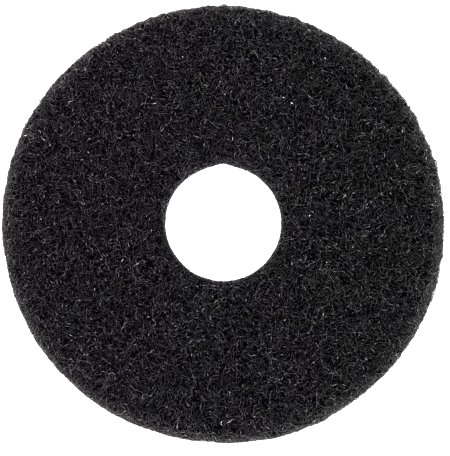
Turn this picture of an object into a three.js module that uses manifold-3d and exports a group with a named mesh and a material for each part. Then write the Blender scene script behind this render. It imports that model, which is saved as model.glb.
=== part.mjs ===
// Floor polishing pad: a thick ring of crimped nonwoven fibre, cut out of its web with a steel rule.
// Millimetres, +Z up. The origin is the middle of the underside. The upper face has the softer edge,
// because the rule went in from that side and pulled the web down with it.

import * as THREE from 'three';
import Module from 'manifold-3d';
import { ImprovedNoise } from 'three/addons/math/ImprovedNoise.js';
import { mergeVertices } from 'three/addons/utils/BufferGeometryUtils.js';

// Size of the ring
const PAD_DIAMETER = 304.8;
const HOLE_DIAMETER = 82.5;
const PAD_THICKNESS = 25;

// How far the web relaxed after it was cut: the long diameter less the short one, and its direction
const OVAL_DIFFERENCE = 2.4;
const OVAL_DIRECTION = THREE.MathUtils.degToRad(-9);

// Rolled edges, across the face and down the wall
const FRONT_ROLL_WIDTH = 4.5;
const FRONT_ROLL_DROP = 7;
const BACK_ROLL_WIDTH = 2.5;
const BACK_ROLL_DROP = 4;
const HOLE_ROLL_WIDTH = 3;
const HOLE_ROLL_DROP = 5;

// The outer wall swells at mid height, and the outline wanders a little in and out
const WALL_BULGE = 0.8;
const OUTLINE_WANDER = 0.6;
const OUTLINE_WANDER_PITCH = 70;

// The hole's rule was bent in short flats, and its two ends meet in a point at +Y
const HOLE_FLATS = 20;
const NOTCH_DEPTH = 1.3;
const NOTCH_WIDTH = 15;

// Hollows between the clumps of fibre on both faces: their spacing, depth, and where they begin and
// bottom out on the noise that places them
const HOLLOW_PITCH = 13;
const HOLLOW_DEPTH = 1.8;
const HOLLOW_START = 0.03;
const HOLLOW_FULL = 0.48;

// Frayed lumps of the cut walls
const FRAY_PITCH = 9;
const FRAY_DEPTH = 1.1;

// Fineness of the mesh: the web's grid, and the steps round a rim, up a wall and over a rolled edge
const WEB_STEP = 6.6;
const WEB_JITTER = 3.2;
const RIM_STEP = 6.6;
const WALL_STEPS = 2;
const ROLL_STEPS = 3;

// How far the web reaches past the ring before it is cut, and the rule past both faces
const CUT_MARGIN = 6;

// A point nearer than this to a face lies on it
const ON_FACE = 0.001;

const padRadius = PAD_DIAMETER / 2;
const holeRadius = HOLE_DIAMETER / 2;
const noise = new ImprovedNoise();
const wasm = await Module();
wasm.setup();

// A solid for joining and cutting, from a closed geometry.
function solidFrom(geometry) {
  geometry.deleteAttribute('normal');
  geometry.deleteAttribute('uv');
  const merged = mergeVertices(geometry, ON_FACE);
  return new wasm.Manifold(new wasm.Mesh({
    numProp: 3,
    vertProperties: new Float32Array(merged.getAttribute('position').array),
    triVerts: new Uint32Array(merged.getIndex().array),
  }));
}

// The geometry of a solid after its cuts.
function geometryFrom(solid) {
  const { vertProperties, triVerts } = solid.getMesh();
  const geometry = new THREE.BufferGeometry();
  geometry.setAttribute('position', new THREE.BufferAttribute(vertProperties, 3));
  geometry.setIndex(new THREE.BufferAttribute(triVerts, 1));
  return geometry;
}

// Moves every point of a geometry by a function that changes the vector it is given.
function movePoints(geometry, move) {
  const place = geometry.getAttribute('position');
  const point = new THREE.Vector3();
  for (let index = 0; index < place.count; index += 1) {
    move(point.fromBufferAttribute(place, index));
    place.setXYZ(index, point.x, point.y, point.z);
  }
}

// Depth of the hollows below a face. Where it is 0 the clumps of fibre reach the face itself.
function hollowDepth(x, y, height) {
  const level = height / HOLLOW_PITCH + 0.5;
  const coarse = noise.noise(x / HOLLOW_PITCH, y / HOLLOW_PITCH, level);
  const fine = noise.noise((2 * x) / HOLLOW_PITCH, (2 * y) / HOLLOW_PITCH, 2 * level);
  return HOLLOW_DEPTH * THREE.MathUtils.smoothstep(coarse + fine / 2, HOLLOW_START, HOLLOW_FULL);
}

// The uncut web: a square slab with hollows sunk into both faces.
function webGeometry() {
  const side = PAD_DIAMETER + 2 * CUT_MARGIN;
  const steps = Math.round(side / WEB_STEP);
  const web = new THREE.BoxGeometry(side, side, PAD_THICKNESS, steps, steps, 1);
  web.translate(0, 0, PAD_THICKNESS / 2);
  movePoints(web, (point) => {
    const { x, y, z } = point;
    const onFront = z > PAD_THICKNESS / 2;
    point.x += WEB_JITTER * noise.noise(x / WEB_STEP + 0.5, y / WEB_STEP + 0.5, z + 0.5);
    point.y += WEB_JITTER * noise.noise(x / WEB_STEP + 0.5, y / WEB_STEP + 0.5, z + 1.5);
    const depth = hollowDepth(point.x, point.y, z);
    point.z = onFront ? PAD_THICKNESS - depth : depth;
  });
  return web;
}

// How far the outer rim lies outside its circle at an angle: the oval and the wander of the outline.
function rimOffset(angle) {
  const oval = (OVAL_DIFFERENCE / 4) * Math.cos(2 * (angle - OVAL_DIRECTION));
  const reach = padRadius / OUTLINE_WANDER_PITCH;
  const wander = noise.noise(reach * Math.cos(angle), reach * Math.sin(angle), 0.5);
  return oval + OUTLINE_WANDER * wander;
}

// How far the hole's rim lies outside its circle at an angle: the flats of the rule and the notch.
function holeOffset(angle) {
  const flat = (2 * Math.PI) / HOLE_FLATS;
  const fromMiddle = angle - flat * Math.round(angle / flat);
  const flats = holeRadius * (1 / Math.cos(fromMiddle) - 1);
  const fromNotch = holeRadius * Math.abs(angle - Math.PI / 2);
  const notch = NOTCH_DEPTH * Math.max(0, 1 - fromNotch / (NOTCH_WIDTH / 2));
  return flats + notch;
}

// How far a cut wall was pulled back from its outline, where fibres came out of it.
function frayDepth(x, y, height) {
  const lump = noise.noise(x / FRAY_PITCH, y / FRAY_PITCH, height / FRAY_PITCH + 0.5);
  return FRAY_DEPTH * THREE.MathUtils.smoothstep(lump, -0.4, 0.5);
}

// A closed section turned into a solid whose every point is then set out from the axis.
function turnedSolid(section, radius, offset) {
  const points = [];
  for (const curve of section.curves) {
    const steps = { EllipseCurve: ROLL_STEPS, QuadraticBezierCurve: WALL_STEPS }[curve.type] ?? 1;
    points.push(...curve.getPoints(steps).slice(points.length ? 1 : 0));
  }
  const turned = new THREE.LatheGeometry(points, Math.round((2 * Math.PI * radius) / RIM_STEP));
  turned.rotateX(Math.PI / 2);
  movePoints(turned, (point) => {
    const out = Math.hypot(point.x, point.y);
    if (out > ON_FACE) {
      const angle = Math.atan2(point.y, point.x);
      const scale = 1 + offset(angle, point) / out;
      point.x *= scale;
      point.y *= scale;
    }
  });
  return solidFrom(turned);
}

// What lies inside the outer rule: a disc with both edges rolled and a swollen wall.
function outerCut() {
  const section = new THREE.Path();
  const wallRadius = padRadius - WALL_BULGE / 2;
  const backEdge = wallRadius - BACK_ROLL_WIDTH;
  const frontEdge = wallRadius - FRONT_ROLL_WIDTH;
  const wallTop = PAD_THICKNESS - FRONT_ROLL_DROP;
  const quarter = Math.PI / 2;

  section.moveTo(0, -CUT_MARGIN);
  section.lineTo(backEdge, -CUT_MARGIN);
  section.lineTo(backEdge, 0);
  section.absellipse(backEdge, BACK_ROLL_DROP, BACK_ROLL_WIDTH, BACK_ROLL_DROP, -quarter, 0, false);
  section.quadraticCurveTo(
    wallRadius + WALL_BULGE, (BACK_ROLL_DROP + wallTop) / 2,
    wallRadius, wallTop,
  );
  section.absellipse(frontEdge, wallTop, FRONT_ROLL_WIDTH, FRONT_ROLL_DROP, 0, quarter, false);
  section.lineTo(frontEdge, PAD_THICKNESS + CUT_MARGIN);
  section.lineTo(0, PAD_THICKNESS + CUT_MARGIN);
  return turnedSolid(section, padRadius, (angle, { x, y, z }) => rimOffset(angle) - frayDepth(x, y, z));
}

// What the hole's rule takes out: a plug that flares at both faces, where the hole's edges are rolled.
function holeCut() {
  const section = new THREE.Path();
  const edge = holeRadius + HOLE_ROLL_WIDTH;
  const wallTop = PAD_THICKNESS - HOLE_ROLL_DROP;
  const quarter = Math.PI / 2;

  section.moveTo(0, -CUT_MARGIN);
  section.lineTo(edge, -CUT_MARGIN);
  section.lineTo(edge, 0);
  section.absellipse(edge, HOLE_ROLL_DROP, HOLE_ROLL_WIDTH, HOLE_ROLL_DROP, 3 * quarter, 2 * quarter, true);
  section.lineTo(holeRadius, PAD_THICKNESS / 2);
  section.lineTo(holeRadius, wallTop);
  section.absellipse(edge, wallTop, HOLE_ROLL_WIDTH, HOLE_ROLL_DROP, 2 * quarter, quarter, true);
  section.lineTo(edge, PAD_THICKNESS + CUT_MARGIN);
  section.lineTo(0, PAD_THICKNESS + CUT_MARGIN);
  return turnedSolid(section, holeRadius, (angle, { x, y, z }) => holeOffset(angle) + frayDepth(x, y, z) / 2);
}

// The ring cut out of the web, with its outline centred on the origin.
function padGeometry() {
  const ring = geometryFrom(solidFrom(webGeometry()).intersect(outerCut()).subtract(holeCut()));
  const middle = new THREE.Vector3();
  ring.computeBoundingBox();
  ring.boundingBox.getCenter(middle);
  ring.translate(-middle.x, -middle.y, 0);
  ring.computeVertexNormals();
  return ring;
}

const blackNylon = new THREE.MeshStandardMaterial({ color: 0x232226, roughness: 0.7, metalness: 0 });

const floorPad = new THREE.Mesh(padGeometry(), blackNylon);
floorPad.name = 'floor_pad';

const model = new THREE.Group();
model.add(floorPad);

export default model;
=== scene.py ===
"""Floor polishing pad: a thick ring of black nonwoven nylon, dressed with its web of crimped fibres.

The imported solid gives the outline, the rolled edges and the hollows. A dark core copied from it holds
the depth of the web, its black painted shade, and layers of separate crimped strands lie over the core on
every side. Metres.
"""

import logging
import math
from collections import defaultdict
from dataclasses import dataclass
from enum import Enum
from typing import Any, Callable

import bmesh
import bpy
import numpy as np
from mathutils import Matrix, Vector, noise
from mathutils.bvhtree import BVHTree


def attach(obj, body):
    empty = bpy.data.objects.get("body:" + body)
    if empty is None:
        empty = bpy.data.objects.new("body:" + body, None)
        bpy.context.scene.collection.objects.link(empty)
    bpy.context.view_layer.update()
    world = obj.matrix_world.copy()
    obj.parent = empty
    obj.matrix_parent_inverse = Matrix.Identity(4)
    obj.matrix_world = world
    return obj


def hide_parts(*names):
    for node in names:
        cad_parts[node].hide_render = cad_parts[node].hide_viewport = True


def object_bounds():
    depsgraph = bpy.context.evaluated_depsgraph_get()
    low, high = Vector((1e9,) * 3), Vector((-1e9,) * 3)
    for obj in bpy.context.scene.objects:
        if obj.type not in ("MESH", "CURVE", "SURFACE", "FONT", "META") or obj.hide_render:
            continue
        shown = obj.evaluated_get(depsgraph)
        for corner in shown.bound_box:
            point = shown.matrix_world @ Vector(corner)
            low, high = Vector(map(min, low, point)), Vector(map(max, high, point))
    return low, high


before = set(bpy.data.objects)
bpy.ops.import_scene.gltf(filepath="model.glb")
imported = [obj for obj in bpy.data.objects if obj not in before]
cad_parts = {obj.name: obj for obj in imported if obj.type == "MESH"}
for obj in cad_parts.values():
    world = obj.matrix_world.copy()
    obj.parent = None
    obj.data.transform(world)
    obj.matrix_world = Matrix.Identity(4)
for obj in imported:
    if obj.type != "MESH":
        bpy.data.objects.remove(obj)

log = logging.getLogger("floor_pad")

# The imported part's own names and box, and the file that its size goes to
NODE = "floor_pad"
BODY = "root"
CAD_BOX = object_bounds()

# A millimetre in metres, and the picture's height in pixels
MM = 0.001
PICTURE_HEIGHT = 456

# The ring's radii
OUTER_RADIUS = (CAD_BOX[1].x - CAD_BOX[0].x) / 2
HOLE_RADIUS = 41.25 * MM

# Where the face is painted lighter towards the rim, as painted light soaking in from the cut edge, in shares
# of the ring's radius, and round the hole
SHOULDER_STARTS, EDGE_STARTS, EDGE_ENDS = 0.78, 0.935, 0.99
SHOULDER_SHARE = 0.12
HOLE_EDGE = 3.5 * MM
HOLE_EDGE_SHARE = 0.1

# The warmer tint of the cut edges, and the share of the radius over which right turns to left
RIGHT_EDGE_TINT = (1.0, 1.0, 0.93, 1.0)
LEFT_EDGE_TINT = (1.06, 1.0, 0.92, 1.0)
NO_TINT = (1.0, 1.0, 1.0, 1.0)
LEFT_TURNS = 0.5

# The cast of colour: how much of it drifts across the pad and how much lies in clouds
CAST_DRIFT = 0.5
CAST_CLOUDS = 1.6
CAST_RANGE = 0.35

# The cut walls: how much their fraying differs from side to side, and where it is the most
FRAYING_SPREAD = 0.8
ROUGHEST_DIRECTION = math.radians(50)

# The strands: their attribute, which holds each point's tone with its painted depth shade, and their UV map,
# their section and tips, how they find their places, and how much one differs from the next
SHADED_TONE = "tone"
UV_NAME = "OFBake"
CELL_MARGIN = 0.06
SECTION_SIDES = 3
END_STEP = 0.35
TIP_GAP = 0.0001 * MM
CHOICES = 8
CROWDING_CELLS = (1.4 * MM, 8 * MM)
PATCH = 6 * MM
FACE_NORMAL = 0.75
WAVE_RANGE = (0.6, 1.6)
SWING_RANGE = (0.2, 1.0)
LOOSE_RANGE = (0.3, 1.0)


class Crowding:
    """Keeps how much strand each cell of space holds, so that strands take the emptier places.

    It counts in small cells, a mesh of the web wide, and in broad ones, so that neither pores nor
    clumps grow too large.
    """

    def __init__(self) -> None:
        """Starts with every cell empty."""
        self.held: dict[float, defaultdict] = {cell: defaultdict(float) for cell in CROWDING_CELLS}

    def key(self, place: Vector, cell: float) -> tuple[int, int, int]:
        """The cell that a place lies in."""
        return (round(place.x / cell), round(place.y / cell), round(place.z / cell))

    def at(self, place: Vector) -> float:
        """How much strand the place's cells hold, with the broad ones brought to the small ones' scale."""
        return sum(held[self.key(place, cell)] / cell for cell, held in self.held.items())

    def add(self, place: Vector, amount: float) -> None:
        """Adds some strand to the place's cells."""
        for cell, held in self.held.items():
            held[self.key(place, cell)] += amount


class Side(Enum):
    """The parts of the pad's surface that get their own strands."""

    FRONT = "front"
    BACK = "back"
    RIM = "rim"
    HOLE = "hole"


class Varying:
    """A value that changes over a surface, with Python's operators adding its Math nodes."""

    def __init__(self, bench: "Bench", socket: bpy.types.NodeSocket) -> None:
        """Keeps the material's bench and the output socket that gives the value."""
        self.bench = bench
        self.socket = socket

    def _math(self, operation: str, first: Any, second: Any = None) -> "Varying":
        """Adds one Math node.

        Args:
            operation: The node's operation.
            first: Its first value, a number or a Varying.
            second: Its second value, where it has one.

        Returns:
            The node's result.
        """
        values = {0: first} if second is None else {0: first, 1: second}
        node = self.bench.add("ShaderNodeMath", {"operation": operation}, values)
        return Varying(self.bench, node.outputs[0])

    def __add__(self, other: Any) -> "Varying":
        """self + other."""
        return self._math("ADD", self, other)

    __radd__ = __add__

    def __sub__(self, other: Any) -> "Varying":
        """self - other."""
        return self._math("SUBTRACT", self, other)

    def __rsub__(self, other: Any) -> "Varying":
        """other - self."""
        return self._math("SUBTRACT", other, self)

    def __mul__(self, other: Any) -> "Varying":
        """self * other."""
        return self._math("MULTIPLY", self, other)

    __rmul__ = __mul__

    def __abs__(self) -> "Varying":
        """The size of the value without its sign."""
        return self._math("ABSOLUTE", self)

    def greatest(self, other: Any) -> "Varying":
        """The larger of self and other."""
        return self._math("MAXIMUM", self, other)

    def stepped(self, low: float, high: float) -> "Varying":
        """The value eased from 0 at low to 1 at high, or the other way round where high is the lower.

        Args:
            low: Where the result is 0.
            high: Where the result is 1.

        Returns:
            The eased value, never below 0 or above 1.
        """
        node = self.bench.add(
            "ShaderNodeMapRange",
            {"interpolation_type": "SMOOTHSTEP"},
            {"Value": self, "From Min": low, "From Max": high},
        )
        return Varying(self.bench, node.outputs["Result"])


class Bench:
    """Builds the nodes of one material."""

    def __init__(self, name: str) -> None:
        """Starts an empty material.

        Args:
            name: The material's name.
        """
        self.material = bpy.data.materials.new(name)
        self.material.use_nodes = True
        self.tree = self.material.node_tree
        self.tree.nodes.clear()
        self.place = self.add("ShaderNodeTexCoord").outputs["Object"]

    def add(self, kind: str, settings: dict | None = None, values: dict | None = None) -> bpy.types.Node:
        """Adds a node of any type.

        Args:
            kind: The node's type.
            settings: The node's own properties, set first.
            values: A number, colour, socket or Varying for each named or numbered input.

        Returns:
            The node.
        """
        node = self.tree.nodes.new(kind)
        for name, setting in (settings or {}).items():
            setattr(node, name, setting)
        for name, value in (values or {}).items():
            if isinstance(value, Varying):
                value = value.socket
            if isinstance(value, bpy.types.NodeSocket):
                self.tree.links.new(value, node.inputs[name])
            else:
                node.inputs[name].default_value = value
        return node

    def cloud(self, size: float, shift: float, detail: float) -> Varying:
        """Noise whose clumps are about one size.

        Args:
            size: The clumps' size in metres.
            shift: How far the pattern is moved, so that two clouds of one size differ.
            detail: How many finer layers it has.

        Returns:
            A value round 0.5.
        """
        moved = self.add(
            "ShaderNodeVectorMath", {"operation": "ADD"}, {0: self.place, 1: (shift, 2 * shift, 3 * shift)}
        )
        node = self.add(
            "ShaderNodeTexNoise",
            {"noise_dimensions": "3D"},
            {"Vector": moved.outputs[0], "Scale": 1 / size, "Detail": detail},
        )
        return Varying(self, node.outputs["Fac"])

    def cast(self, size: float) -> Varying:
        """The nylon's cast of colour, which drifts in broad clouds from one side of the pad to the other.

        Args:
            size: The clouds' size in metres.

        Returns:
            0 where it is violet and 1 where it is neutral.
        """
        across = self.add("ShaderNodeSeparateXYZ", values={0: self.place}).outputs["X"]
        drift = Varying(self, across) * (CAST_DRIFT / OUTER_RADIUS)
        clouds = CAST_CLOUDS * (self.cloud(size, shift=0.31, detail=1.0) - 0.5)
        return (drift + clouds).stepped(-CAST_RANGE, CAST_RANGE)

    def edge(self) -> Varying:
        """How near a place is to a cut edge, where light soaks into the web from the side.

        Returns:
            0 on the open face, a little at the hole's edge, and the most at the outer rim.
        """
        flat = self.add("ShaderNodeVectorMath", {"operation": "MULTIPLY"}, {0: self.place, 1: (1, 1, 0)})
        length = self.add("ShaderNodeVectorMath", {"operation": "LENGTH"}, {0: flat.outputs[0]})
        out = Varying(self, length.outputs["Value"])
        shoulder = out.stepped(SHOULDER_STARTS * OUTER_RADIUS, EDGE_STARTS * OUTER_RADIUS)
        rim = out.stepped(EDGE_STARTS * OUTER_RADIUS, EDGE_ENDS * OUTER_RADIUS)
        hole = out.stepped(HOLE_RADIUS + HOLE_EDGE, HOLE_RADIUS)
        return rim + SHOULDER_SHARE * shoulder + HOLE_EDGE_SHARE * hole

    def warmed(self, colour: Any, edge: Varying) -> bpy.types.NodeSocket:
        """A colour that turns warmer towards the cut edges, and more so on the pad's left half.

        Args:
            colour: The colour's socket.
            edge: How near the place is to a cut edge.

        Returns:
            The warmed colour's socket.
        """
        across = Varying(self, self.add("ShaderNodeSeparateXYZ", values={0: self.place}).outputs["X"])
        left = across.stepped(LEFT_TURNS * OUTER_RADIUS, -LEFT_TURNS * OUTER_RADIUS)
        tint = self.mixed(edge, NO_TINT, self.mixed(left, RIGHT_EDGE_TINT, LEFT_EDGE_TINT))
        warmed = self.add("ShaderNodeVectorMath", {"operation": "MULTIPLY"}, {0: colour, 1: tint})
        return warmed.outputs[0]

    def mixed(self, share: Varying, low: Any, high: Any) -> bpy.types.NodeSocket:
        """A colour between two others.

        Args:
            share: 0 gives low and 1 gives high.
            low: A colour or a colour socket.
            high: A colour or a colour socket.

        Returns:
            The mixed colour's socket.
        """
        node = self.add(
            "ShaderNodeMix", {"data_type": "RGBA", "clamp_factor": False}, {0: share, 6: low, 7: high}
        )
        return node.outputs[2]

    def finished(self, shader_values: dict) -> bpy.types.Material:
        """Closes the material with a Principled shader.

        Args:
            shader_values: The values and links of the shader's sockets.

        Returns:
            The material.
        """
        shader = self.add("ShaderNodeBsdfPrincipled", values=shader_values)
        self.add("ShaderNodeOutputMaterial", values={"Surface": shader.outputs[0]})
        return self.material


def tinted(level: float, red: float, blue: float) -> tuple[float, float, float, float]:
    """A dark linear colour close to grey.

    Args:
        level: Its green.
        red: How much stronger its red is, as a share of the level.
        blue: How much stronger its blue is.

    Returns:
        The colour, opaque.
    """
    return (level * (1 + red), level, level * (1 + blue), 1.0)


@dataclass(frozen=True)
class NylonFinish:
    """Black nylon strands coated with a gritty, slightly glossy binder.

    Each tint is how much stronger its red and its blue are than its green, as shares of the green.
    """

    name: str = "black_nylon"
    # The darkest level, which deep strands reach through their painted depth shade
    deepest: float = 0.0008
    lightest: float = 0.085
    # Painted light towards the cut edges: the level, share and tint of a lighter grey mixed in there, and how
    # much the tone is raised there
    painted_edge_light: float = 0.056
    painted_edge_light_share: float = 0.3
    painted_edge_brightening: float = 1.1
    violet_deep: tuple[float, float] = (1.7, 3.6)
    violet_light: tuple[float, float] = (0.09, 0.20)
    neutral_deep: tuple[float, float] = (0.0, 0.4)
    neutral_light: tuple[float, float] = (0.0, 0.04)
    painted_edge_light_tint: tuple[float, float] = (0.08, 0.08)
    roughness: float = 0.45
    roughness_spread: float = 0.3
    shine: float = 0.22
    cast: float = 22 * MM
    grain: float = 0.35 * MM
    grit_height: float = 0.05 * MM
    grit_strength: float = 0.6
    bead: float = 0.9 * MM
    bead_range: tuple[float, float] = (0.35, 0.65)
    beading: float = 1.7

    def material(self) -> bpy.types.Material:
        """Builds the material: each strand's own tone with its painted depth shade, painted light towards the
        cut edges, a slow cast of colour and fine grain.

        Returns:
            The material.
        """
        bench = Bench(self.name)
        tone = Varying(bench, bench.add("ShaderNodeAttribute", {"attribute_name": SHADED_TONE}).outputs["Fac"])
        edge = bench.edge()
        beads = bench.cloud(self.bead, shift=0.07, detail=0.0).stepped(*self.bead_range)
        # Painted light: the tone is raised towards the cut edges; the beads are the strands' own tone
        tone = tone * (1 + self.painted_edge_brightening * edge) * (1 - self.beading / 2 + self.beading * beads)
        grain = bench.cloud(self.grain, shift=0.17, detail=1.0)
        violet = bench.mixed(
            tone, tinted(self.deepest, *self.violet_deep), tinted(self.lightest, *self.violet_light)
        )
        neutral = bench.mixed(
            tone, tinted(self.deepest, *self.neutral_deep), tinted(self.lightest, *self.neutral_light)
        )
        depths = bench.mixed(bench.cast(self.cast), violet, neutral)
        # Painted light: a lighter grey is mixed in towards the cut edges
        painted_edge_light = bench.mixed(self.painted_edge_light_share * edge, depths, tinted(self.painted_edge_light, *self.painted_edge_light_tint))
        grit = {"Strength": self.grit_strength, "Distance": self.grit_height, "Height": grain}
        bump = bench.add("ShaderNodeBump", values=grit)
        return bench.finished({
            "Base Color": bench.warmed(painted_edge_light, edge),
            "Roughness": self.roughness + self.roughness_spread * (grain - 0.5),
            "Specular IOR Level": self.shine,
            "Normal": bump.outputs[0],
        })


BLACK_NYLON = NylonFinish()
BINDER = NylonFinish(name="binder_drops", roughness=0.16, shine=0.5)


@dataclass(frozen=True)
class CoreFinish:
    """The depth of the web: black pores, crossed by strands that lie too deep to be pieces, the nylon's own
    black darkened further as painted shade of the web's depth.

    Its tints are given as the nylon's are.
    """

    name: str = "deep_web"
    # Painted shade: the near-black levels of the pores and the deep strands stand in for the shade deep in
    # the web
    pore: float = 0.0004
    strand: float = 0.004
    # Painted light: the level, share and tint of a lighter grey mixed into the deep strands towards the cut
    # edges
    painted_edge_light: float = 0.024
    painted_edge_light_share: float = 0.7
    violet_pore: tuple[float, float] = (0.5, 1.3)
    violet_strand: tuple[float, float] = (0.3, 0.6)
    neutral_pore: tuple[float, float] = (0.1, 0.6)
    neutral_strand: tuple[float, float] = (0.1, 0.2)
    painted_edge_light_tint: tuple[float, float] = (0.05, 0.05)
    mesh: float = 4.2 * MM
    mesh_growth: float = 0.17
    line: float = 0.03
    line_height: float = 0.4 * MM
    layers: int = 4
    cast: float = 22 * MM
    pore_roughness: float = 0.8
    line_polish: float = 0.2

    def material(self) -> bpy.types.Material:
        """Builds the core's material: curling lines where each of several clouds crosses its middle, painted
        lighter towards the cut edges.

        Returns:
            The material.
        """
        bench = Bench(self.name)
        lines = None
        for layer in range(self.layers):
            size = self.mesh * (1 + self.mesh_growth * layer)
            cloud = bench.cloud(size, shift=0.13 * (layer + 1), detail=0.5)
            line = abs(cloud - 0.5).stepped(self.line, 0.0)
            lines = line if lines is None else lines.greatest(line)
        violet = bench.mixed(
            lines, tinted(self.pore, *self.violet_pore), tinted(self.strand, *self.violet_strand)
        )
        neutral = bench.mixed(
            lines, tinted(self.pore, *self.neutral_pore), tinted(self.strand, *self.neutral_strand)
        )
        depths = bench.mixed(bench.cast(self.cast), violet, neutral)
        # Painted light: the deep strands turn lighter towards the cut edges
        lit = self.painted_edge_light_share * bench.edge() * lines
        painted_edge_light = bench.mixed(lit, depths, tinted(self.painted_edge_light, *self.painted_edge_light_tint))
        relief = {"Strength": 1.0, "Distance": self.line_height, "Height": lines}
        bump = bench.add("ShaderNodeBump", values=relief)
        return bench.finished({
            "Base Color": painted_edge_light,
            "Roughness": self.pore_roughness - self.line_polish * lines,
            "Specular IOR Level": 0.0,
            "Normal": bump.outputs[0],
        })


@dataclass
class WebBody:
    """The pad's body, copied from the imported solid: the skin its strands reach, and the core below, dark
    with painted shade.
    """

    voxel: float = 2.6 * MM
    smoothing: int = 3
    swell_faces: float = 0.5 * MM
    swell_walls: float = 1.2 * MM
    tuft_pitch: float = 4.5 * MM
    tuft_height: float = 1.1 * MM
    notch_depth: float = 1.0 * MM
    notch_width: float = 15 * MM
    sink_faces: float = 1.7 * MM
    sink_walls: float = 1.0 * MM
    lump_pitch: float = 5 * MM
    lump_height: float = 0.6 * MM

    def skin(self) -> bmesh.types.BMesh:
        """Copies the solid in even faces, rounds it and raises the tufts of its outer wall.

        Returns:
            The smooth closed surface that the outermost strands reach.
        """
        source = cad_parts[NODE]
        copy = bpy.data.objects.new("web_copy", source.data.copy())
        copy.matrix_world = source.matrix_world
        bpy.context.scene.collection.objects.link(copy)
        remesh = copy.modifiers.new("even_faces", "REMESH")
        remesh.mode = "VOXEL"
        remesh.voxel_size = self.voxel
        shape = bmesh.new()
        shape.from_object(copy, bpy.context.evaluated_depsgraph_get())
        bmesh.ops.transform(shape, matrix=source.matrix_world, verts=shape.verts)
        bpy.data.meshes.remove(copy.data)
        bmesh.ops.triangulate(shape, faces=shape.faces)
        for _ in range(self.smoothing):
            bmesh.ops.smooth_vert(
                shape, verts=shape.verts, factor=0.5, use_axis_x=True, use_axis_y=True, use_axis_z=True
            )
        self.push(shape, self.tuft)
        shape.normal_update()
        return shape

    def tuft(self, place: Vector, normal: Vector) -> float:
        """How far the skin stands off the rounded solid.

        Args:
            place: A point of the solid's surface.
            normal: Its outward direction there.

        Returns:
            The height: the outer wall is tufted where the rule cut it, and the hole keeps its notch.
        """
        swell = self.swell_walls + abs(normal.z) * (self.swell_faces - self.swell_walls)
        outward = normal.dot(Vector((place.x, place.y, 0)).normalized())
        if outward > 0:
            tuft = self.tuft_height * fraying(place) * noise.noise(place / self.tuft_pitch)
            return swell + outward * tuft
        from_notch = abs(place.x) if place.y > 0 else OUTER_RADIUS
        return swell + outward * self.notch_depth * max(0.0, 1 - 2 * from_notch / self.notch_width)

    def sunk(self, place: Vector, normal: Vector) -> float:
        """How far the core lies off the skin, which is less behind the walls."""
        sink = self.sink_walls + abs(normal.z) * (self.sink_faces - self.sink_walls)
        return self.lump_height * noise.noise(place / self.lump_pitch) - sink

    def push(self, shape: bmesh.types.BMesh, height: Callable[[Vector, Vector], float]) -> None:
        """Moves every point of a shape along its normal.

        Args:
            shape: The shape, which is changed.
            height: Gives how far each point goes, from its place and its normal.
        """
        shape.normal_update()
        moves = [vertex.normal * height(vertex.co, vertex.normal) for vertex in shape.verts]
        for vertex, move in zip(shape.verts, moves):
            vertex.co += move

    def core(self, shape: bmesh.types.BMesh) -> bpy.types.Object:
        """Sinks the skin and raises its lumps.

        Args:
            shape: The skin, which is used up.

        Returns:
            The core, in place.
        """
        self.push(shape, self.sunk)
        bmesh.ops.recalc_face_normals(shape, faces=shape.faces)
        mesh = bpy.data.meshes.new("web_core")
        shape.to_mesh(mesh)
        shape.free()
        mesh.shade_smooth()
        core = bpy.data.objects.new("web_core", mesh)
        bpy.context.scene.collection.objects.link(core)
        return core

    def dress(self, core: bpy.types.Object) -> None:
        """Gives the core its finish and its place on the body.

        Args:
            core: The core's object.
        """
        core.data.materials.append(CoreFinish().material())
        mount(core)


def fraying(place: Vector) -> float:
    """How frayed the pad is at a place, against its average: the most at the upper right."""
    return 1 + FRAYING_SPREAD * math.cos(math.atan2(place.y, place.x) - ROUGHEST_DIRECTION)


def mount(piece: bpy.types.Object) -> None:
    """Makes a piece ride on the pad's body and stand for its solid.

    Args:
        piece: The finished piece.
    """
    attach(piece, BODY)
    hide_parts(NODE)


class Skin:
    """The pad's smooth surface, which strands start from and follow."""

    def __init__(self, shape: bmesh.types.BMesh) -> None:
        """Reads the faces and sorts them by side.

        Args:
            shape: The skin, in triangles.
        """
        self.tree = BVHTree.FromBMesh(shape)
        self.triangles = np.array([[corner.co for corner in face.verts] for face in shape.faces])
        self.normals = np.array([face.normal for face in shape.faces])
        self.areas = np.array([face.calc_area() for face in shape.faces])
        centres = self.triangles.mean(axis=1)
        out = np.hypot(centres[:, 0], centres[:, 1])
        middle = (out.min() + out.max()) / 2
        flat = np.abs(self.normals[:, 2]) > FACE_NORMAL
        self.on = {
            Side.FRONT: flat & (self.normals[:, 2] > 0),
            Side.BACK: flat & (self.normals[:, 2] < 0),
            Side.RIM: ~flat & (out > middle),
            Side.HOLE: ~flat & (out < middle),
        }

    def starts(self, side: Side, count: int, rng: np.random.Generator) -> list[tuple[Vector, Vector]]:
        """Random places spread evenly over a side.

        Args:
            side: The side to start from.
            count: How many places.
            rng: The layer's own source of chance.

        Returns:
            Each place and its outward normal.
        """
        chosen = np.flatnonzero(self.on[side])
        patches = np.floor(self.triangles[chosen].mean(axis=1) / PATCH)
        chosen = chosen[np.lexsort(patches.T)]
        reach = np.cumsum(self.areas[chosen])
        picks = chosen[np.searchsorted(reach, (np.arange(count) + rng.random(count)) * reach[-1] / count)]
        weights = rng.dirichlet((1.0, 1.0, 1.0), count)
        places = (self.triangles[picks] * weights[:, :, None]).sum(axis=1)
        return [(Vector(place), Vector(self.normals[pick])) for place, pick in zip(places, picks)]


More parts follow.
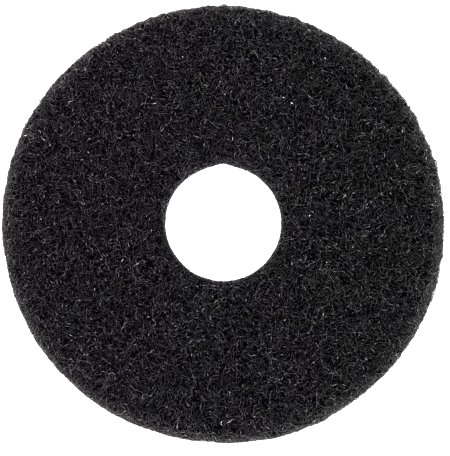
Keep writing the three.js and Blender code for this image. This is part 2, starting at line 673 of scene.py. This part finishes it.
@dataclass(frozen=True)
class Crimp:
    """How a strand curls.

    In order: its wave, its swing to either side, its wander, its rise and fall, how often these come
    in a wave, its sharpest turn at one step, and its sway there towards an emptier place.
    """

    wave: float = 8.5 * MM
    swing: float = 0.9
    wander: float = 0.25
    arch: float = 0.75 * MM
    weave: float = 1.4
    sharpest: float = 0.9
    sway: float = 0.3


LOOSE_CRIMP = Crimp()
CURLED_CRIMP = Crimp(wave=6.5 * MM, swing=1.3, wander=0.35, arch=0.7 * MM, sway=0.4)
CUT_CRIMP = Crimp(wave=6 * MM, swing=1.2, arch=0.4 * MM)
PRESSED_CRIMP = Crimp(swing=0.8, arch=0.2 * MM)


@dataclass
class StrandLayer:
    """One layer of separate crimped strands over one side of the pad."""

    name: str
    side: Side
    strands: int
    seed: int
    points: int = 12
    step: float = 1.7 * MM
    thin: float = 0.12 * MM
    thick: float = 0.27 * MM
    deep: float = 1.9 * MM
    # Painted shade: how steeply a strand's tone darkens the deeper it lies
    depth_shade_power: float = 1.2
    tone: float = 0.45
    tone_spread: float = 0.4
    beading: float = 0.65
    crimp: Crimp = LOOSE_CRIMP
    loose_share: float = 0.0
    loose_height: float = 0.0
    finish: NylonFinish = BLACK_NYLON

    def route(
        self, skin: Skin, crowding: Crowding, place: Vector, normal: Vector, rng: np.random.Generator
    ) -> tuple[list[Vector], list[float]]:
        """Lets one strand crawl over the skin, diving under its surface and rising again.

        Args:
            skin: The surface it follows.
            crowding: How full each place near the surface is.
            place: Where it starts.
            normal: The surface's normal there.
            rng: The layer's source of chance.

        Returns:
            The points of the strand's middle line, and how far each lies under the skin.
        """
        heading = normal.orthogonal().normalized()
        heading.rotate(Matrix.Rotation(rng.uniform(0, 2 * math.pi), 3, normal))
        wave = self.crimp.wave * rng.uniform(*WAVE_RANGE)
        swing = self.crimp.swing * rng.uniform(*SWING_RANGE)
        side_phase, rise_phase = rng.uniform(0, 2 * math.pi, 2)
        level = rng.uniform(0, self.deep)
        loose_share = self.loose_share * fraying(place)
        loose = rng.uniform(*LOOSE_RANGE) * self.loose_height if rng.random() < loose_share else 0.0
        wander = rng.normal(0, self.crimp.wander, self.points)
        route, depths = [], []
        for index in range(self.points):
            along = 2 * math.pi * index * self.step / wave
            depth = level + self.crimp.arch * math.sin(self.crimp.weave * along + rise_phase)
            depth = min(max(depth, 0.0), self.deep)
            depth -= loose * math.sin(math.pi * index / (self.points - 1))
            route.append(place - normal * depth)
            depths.append(depth)
            crowding.add(place, max(1 - depth / self.deep, 0.0))
            stride = self.step * (END_STEP if index in (0, self.points - 2) else 1.0)
            turn = swing * 2 * math.pi * stride / wave * math.cos(along + side_phase)
            turn = (turn + wander[index]) * stride / self.step
            turn = max(-self.crimp.sharpest, min(turn, self.crimp.sharpest))
            headings = [
                Matrix.Rotation(turn + share * self.crimp.sway, 3, normal) @ heading
                for share in (0, -1, 1, -2, 2)
            ]
            heading = min(headings, key=lambda way: crowding.at(place + way * stride))
            place, normal, _, _ = skin.tree.find_nearest(place + heading * stride)
            heading = (heading - normal * heading.dot(normal)).normalized()
        return route, depths

    def build(self, skin: Skin, crowding: Crowding) -> bpy.types.Object:
        """Makes every strand of the layer and joins them into one mesh.

        Args:
            skin: The surface they lie under.
            crowding: How full each place near the surface is.

        Returns:
            The layer, in place.
        """
        rng = np.random.default_rng(self.seed)
        curve = bpy.data.curves.new(self.name, "CURVE")
        curve.dimensions = "3D"
        section = strand_section()
        curve.bevel_mode = "OBJECT"
        curve.bevel_object = section
        shaded_tones = []
        starts = skin.starts(self.side, self.strands * CHOICES, rng)
        rng.shuffle(starts)
        for index in range(self.strands):
            choices = starts[index * CHOICES:(index + 1) * CHOICES]
            place, normal = min(choices, key=lambda start: crowding.at(start[0]))
            route, depths = self.route(skin, crowding, place, normal, rng)
            radius = rng.uniform(self.thin, self.thick)
            tone = self.tone * rng.lognormal(0.0, self.tone_spread)
            # Painted shade: each point's tone darkens the deeper it lies under the skin
            depth_shade = [min(max(1 - depth / self.deep, 0.0), 1.0) ** self.depth_shade_power for depth in depths]
            shaded_tones.append(tone * rng.lognormal(-self.beading ** 2 / 2, self.beading, self.points) * depth_shade)
            floor = CAD_BOX[0].z + radius
            spline = curve.splines.new("POLY")
            spline.points.add(self.points - 1)
            flat = [x for point in route for x in (point.x, point.y, max(point.z, floor), 1.0)]
            spline.points.foreach_set("co", flat)
            thickness = [0.0, *[radius / MM] * (self.points - 2), 0.0]
            spline.points.foreach_set("radius", thickness)
        holder = bpy.data.objects.new(self.name, curve)
        bpy.context.scene.collection.objects.link(holder)
        mesh = bpy.data.meshes.new_from_object(holder.evaluated_get(bpy.context.evaluated_depsgraph_get()))
        bpy.data.objects.remove(holder)
        bpy.data.curves.remove(curve)
        bpy.data.objects.remove(section)
        mesh.name = self.name
        mesh.materials.clear()
        self.mark(mesh, np.array(shaded_tones))
        self.close_tips(mesh)
        layer = bpy.data.objects.new(self.name, mesh)
        bpy.context.scene.collection.objects.link(layer)
        return layer

    def mark(self, mesh: bpy.types.Mesh, shaded_tones: np.ndarray) -> None:
        """Gives each point of the mesh its strand's tone with its painted depth shade, and each strand its
        own cell of the UV map.

        Args:
            mesh: The layer's tubes, with their points in the order of the strands.
            shaded_tones: A tone for each point of each strand, darkened as painted shade where it lies deep.
        """
        tone = mesh.attributes.new(SHADED_TONE, "FLOAT", "POINT")
        tone.data.foreach_set("value", np.repeat(shaded_tones.ravel(), SECTION_SIDES))
        corners = np.empty(len(mesh.loops), int)
        mesh.loops.foreach_get("vertex_index", corners)
        strand = corners // (self.points * SECTION_SIDES)
        across = math.ceil(math.sqrt(self.strands))
        cells = np.stack((strand % across, strand // across), axis=1)
        uv_map = mesh.uv_layers[0]
        uv_map.name = UV_NAME
        places = np.empty(len(mesh.loops) * 2)
        uv_map.data.foreach_get("uv", places)
        places = (cells + CELL_MARGIN + (1 - 2 * CELL_MARGIN) * places.reshape(-1, 2)) / across
        uv_map.data.foreach_set("uv", places.ravel())

    def close_tips(self, mesh: bpy.types.Mesh) -> None:
        """Closes each strand's two ends, where its section has shrunk to a point.

        Args:
            mesh: The layer's tubes.
        """
        shape = bmesh.new()
        shape.from_mesh(mesh)
        bmesh.ops.remove_doubles(shape, verts=shape.verts, dist=TIP_GAP)
        shape.to_mesh(mesh)
        shape.free()

    def dress(self, layer: bpy.types.Object, material: bpy.types.Material) -> None:
        """Gives the layer its finish and its place on the body."""
        layer.data.materials.append(material)
        mount(layer)


@dataclass
class PaleHighlitStrands(StrandLayer):
    """A few strands that lie on top of the web and catch more light, their raised tone partly their own paler
    colour and partly painted highlight.
    """

    deep: float = 0.8 * MM
    # Partly painted highlight: a tone well above the other strands'
    tone: float = 1.3
    tone_spread: float = 0.4
    beading: float = 0.6


@dataclass
class BinderDropsWithPaintedGlint(StrandLayer):
    """Short thick pieces of strand wetted with glossy binder, which glint from the top of the web, partly
    from the binder's gloss and partly from a raised tone painted as highlight.
    """

    points: int = 5
    step: float = 0.9 * MM
    thin: float = 0.18 * MM
    thick: float = 0.32 * MM
    deep: float = 0.6 * MM
    # Painted highlight: a tone above the strands' brightens the drops' glints
    tone: float = 0.9
    tone_spread: float = 0.6
    finish: NylonFinish = BINDER


def strand_section() -> bpy.types.Object:
    """Makes the strands' section: a triangle one millimetre in radius, which each strand scales.

    Returns:
        The section, a closed flat curve.
    """
    curve = bpy.data.curves.new("strand_section", "CURVE")
    curve.dimensions = "2D"
    spline = curve.splines.new("POLY")
    spline.points.add(SECTION_SIDES - 1)
    for index, point in enumerate(spline.points):
        angle = -2 * math.pi * index / SECTION_SIDES
        point.co = (MM * math.cos(angle), MM * math.sin(angle), 0, 1)
    spline.use_cyclic_u = True
    section = bpy.data.objects.new("strand_section", curve)
    bpy.context.scene.collection.objects.link(section)
    return section


@dataclass(frozen=True)
class Lamp:
    """A square soft light: its name, its place in metres, its side and its power in watts."""

    name: str
    place: Vector
    side: float
    power: float


LAMPS = (
    Lamp("overhead", Vector((-0.25, 0.2, 1.6)), 0.9, 22.0),
    Lamp("glint", Vector((0.8, -0.3, 1.3)), 0.25, 10.0),
)


@dataclass
class Studio:
    """A white floor, soft overhead light and a camera almost straight above the pad."""

    distance: float = 1.35
    tilt: float = math.radians(4.3)
    tilt_towards: float = math.radians(-99.0)
    pixel: float = 0.695 * MM
    aim_right: float = 1.1 * MM
    aim_down: float = 3.5 * MM
    floor_side: float = 6.0

    def build_floor(self) -> None:
        """Lays a pale floor under the pad."""
        shape = bmesh.new()
        bmesh.ops.create_grid(shape, x_segments=1, y_segments=1, size=self.floor_side / 2)
        mesh = bpy.data.meshes.new("floor")
        shape.to_mesh(mesh)
        shape.free()
        floor = bpy.data.objects.new("floor", mesh)
        bpy.context.scene.collection.objects.link(floor)
        bench = Bench("pale_floor")
        mesh.materials.append(bench.finished({
            "Base Color": (0.9, 0.9, 0.9, 1.0),
            "Roughness": 0.9,
            "Specular IOR Level": 0.1,
            "Emission Color": (1.0, 1.0, 1.0, 1.0),
            "Emission Strength": 1.0,
        }))

    def build_lights(self) -> None:
        """Sets a broad soft light overhead, a smaller one beside it and a pale surround."""
        for lamp in LAMPS:
            data = bpy.data.lights.new(lamp.name, "AREA")
            data.shape = "SQUARE"
            data.size = lamp.side
            data.energy = lamp.power
            light = bpy.data.objects.new(lamp.name, data)
            light.location = lamp.place
            light.rotation_euler = (-lamp.place).to_track_quat("-Z", "Y").to_euler()
            bpy.context.scene.collection.objects.link(light)
        world = bpy.data.worlds.new("surround")
        world.use_nodes = True
        world.node_tree.nodes["Background"].inputs["Color"].default_value = (1.0, 1.0, 1.0, 1.0)
        world.node_tree.nodes["Background"].inputs["Strength"].default_value = 1.0
        bpy.context.scene.world = world

    def build_camera(self) -> None:
        """Looks down on the pad from the photograph's angle, with the whole ring in the frame."""
        centre = (CAD_BOX[0] + CAD_BOX[1]) / 2
        target = centre + Vector((self.aim_right, -self.aim_down, 0))
        lean = Vector((math.cos(self.tilt_towards), math.sin(self.tilt_towards), 0))
        away = lean * math.sin(self.tilt) + Vector((0, 0, math.cos(self.tilt)))
        right = Vector((0, 1, 0)).cross(away).normalized()
        up = away.cross(right)
        data = bpy.data.cameras.new("camera")
        data.lens = data.sensor_width * self.distance / (self.pixel * PICTURE_HEIGHT)
        camera = bpy.data.objects.new("camera", data)
        place = target + away * self.distance
        camera.matrix_world = Matrix((
            (right.x, up.x, away.x, place.x),
            (right.y, up.y, away.y, place.y),
            (right.z, up.z, away.z, place.z),
            (0, 0, 0, 1),
        ))
        bpy.context.scene.collection.objects.link(camera)
        bpy.context.scene.camera = camera

    def build(self) -> None:
        """Builds the floor, the lights and the camera, and keeps the picture's plain contrast."""
        self.build_floor()
        self.build_lights()
        self.build_camera()
        bpy.context.scene.view_settings.view_transform = "Standard"
        bpy.context.scene.cycles.use_denoising = False


def strand_layers() -> list[StrandLayer]:
    """Lists the layers of strands, in the order in which they fill the web.

    Returns:
        The layers, each with its side, its number of strands and the seed of its chance.
    """
    return [
        StrandLayer(
            "face_web_a", Side.FRONT, 3000, 11, step=1.5 * MM, thick=0.24 * MM, crimp=CURLED_CRIMP
        ),
        StrandLayer("face_web_b", Side.FRONT, 3000, 12),
        StrandLayer("back_web", Side.BACK, 3000, 13, step=2.2 * MM),
        StrandLayer(
            "rim_web_a", Side.RIM, 2300, 14,
            thick=0.24 * MM, beading=0.8, crimp=CUT_CRIMP, loose_share=0.06, loose_height=2.2 * MM,
        ),
        StrandLayer("rim_web_b", Side.RIM, 2300, 20, thick=0.24 * MM, beading=0.8, crimp=CUT_CRIMP),
        StrandLayer("hole_web", Side.HOLE, 900, 15, thick=0.22 * MM, deep=1.2 * MM, crimp=PRESSED_CRIMP),
        PaleHighlitStrands("face_pale_highlit_strands", Side.FRONT, 80, 19),
        BinderDropsWithPaintedGlint("face_drops", Side.FRONT, 1400, 16),
        BinderDropsWithPaintedGlint("back_drops", Side.BACK, 900, 17),
        BinderDropsWithPaintedGlint("rim_drops", Side.RIM, 300, 18),
    ]


def main() -> None:
    """Builds the body, the layers of strands and the studio, and reports each piece."""
    logging.basicConfig(level=logging.INFO, format="%(name)s: %(message)s")
    body = WebBody()
    shape = body.skin()
    skin = Skin(shape)
    core = body.core(shape)
    body.dress(core)
    log.info("web_core: %d faces", len(core.data.polygons))
    materials = {finish.name: finish.material() for finish in (BLACK_NYLON, BINDER)}
    crowding = Crowding()
    for layer_maker in strand_layers():
        layer = layer_maker.build(skin, crowding)
        layer_maker.dress(layer, materials[layer_maker.finish.name])
        log.info("%s: %d faces", layer.name, len(layer.data.polygons))
    Studio().build()


if __name__ == "__main__":
    main()
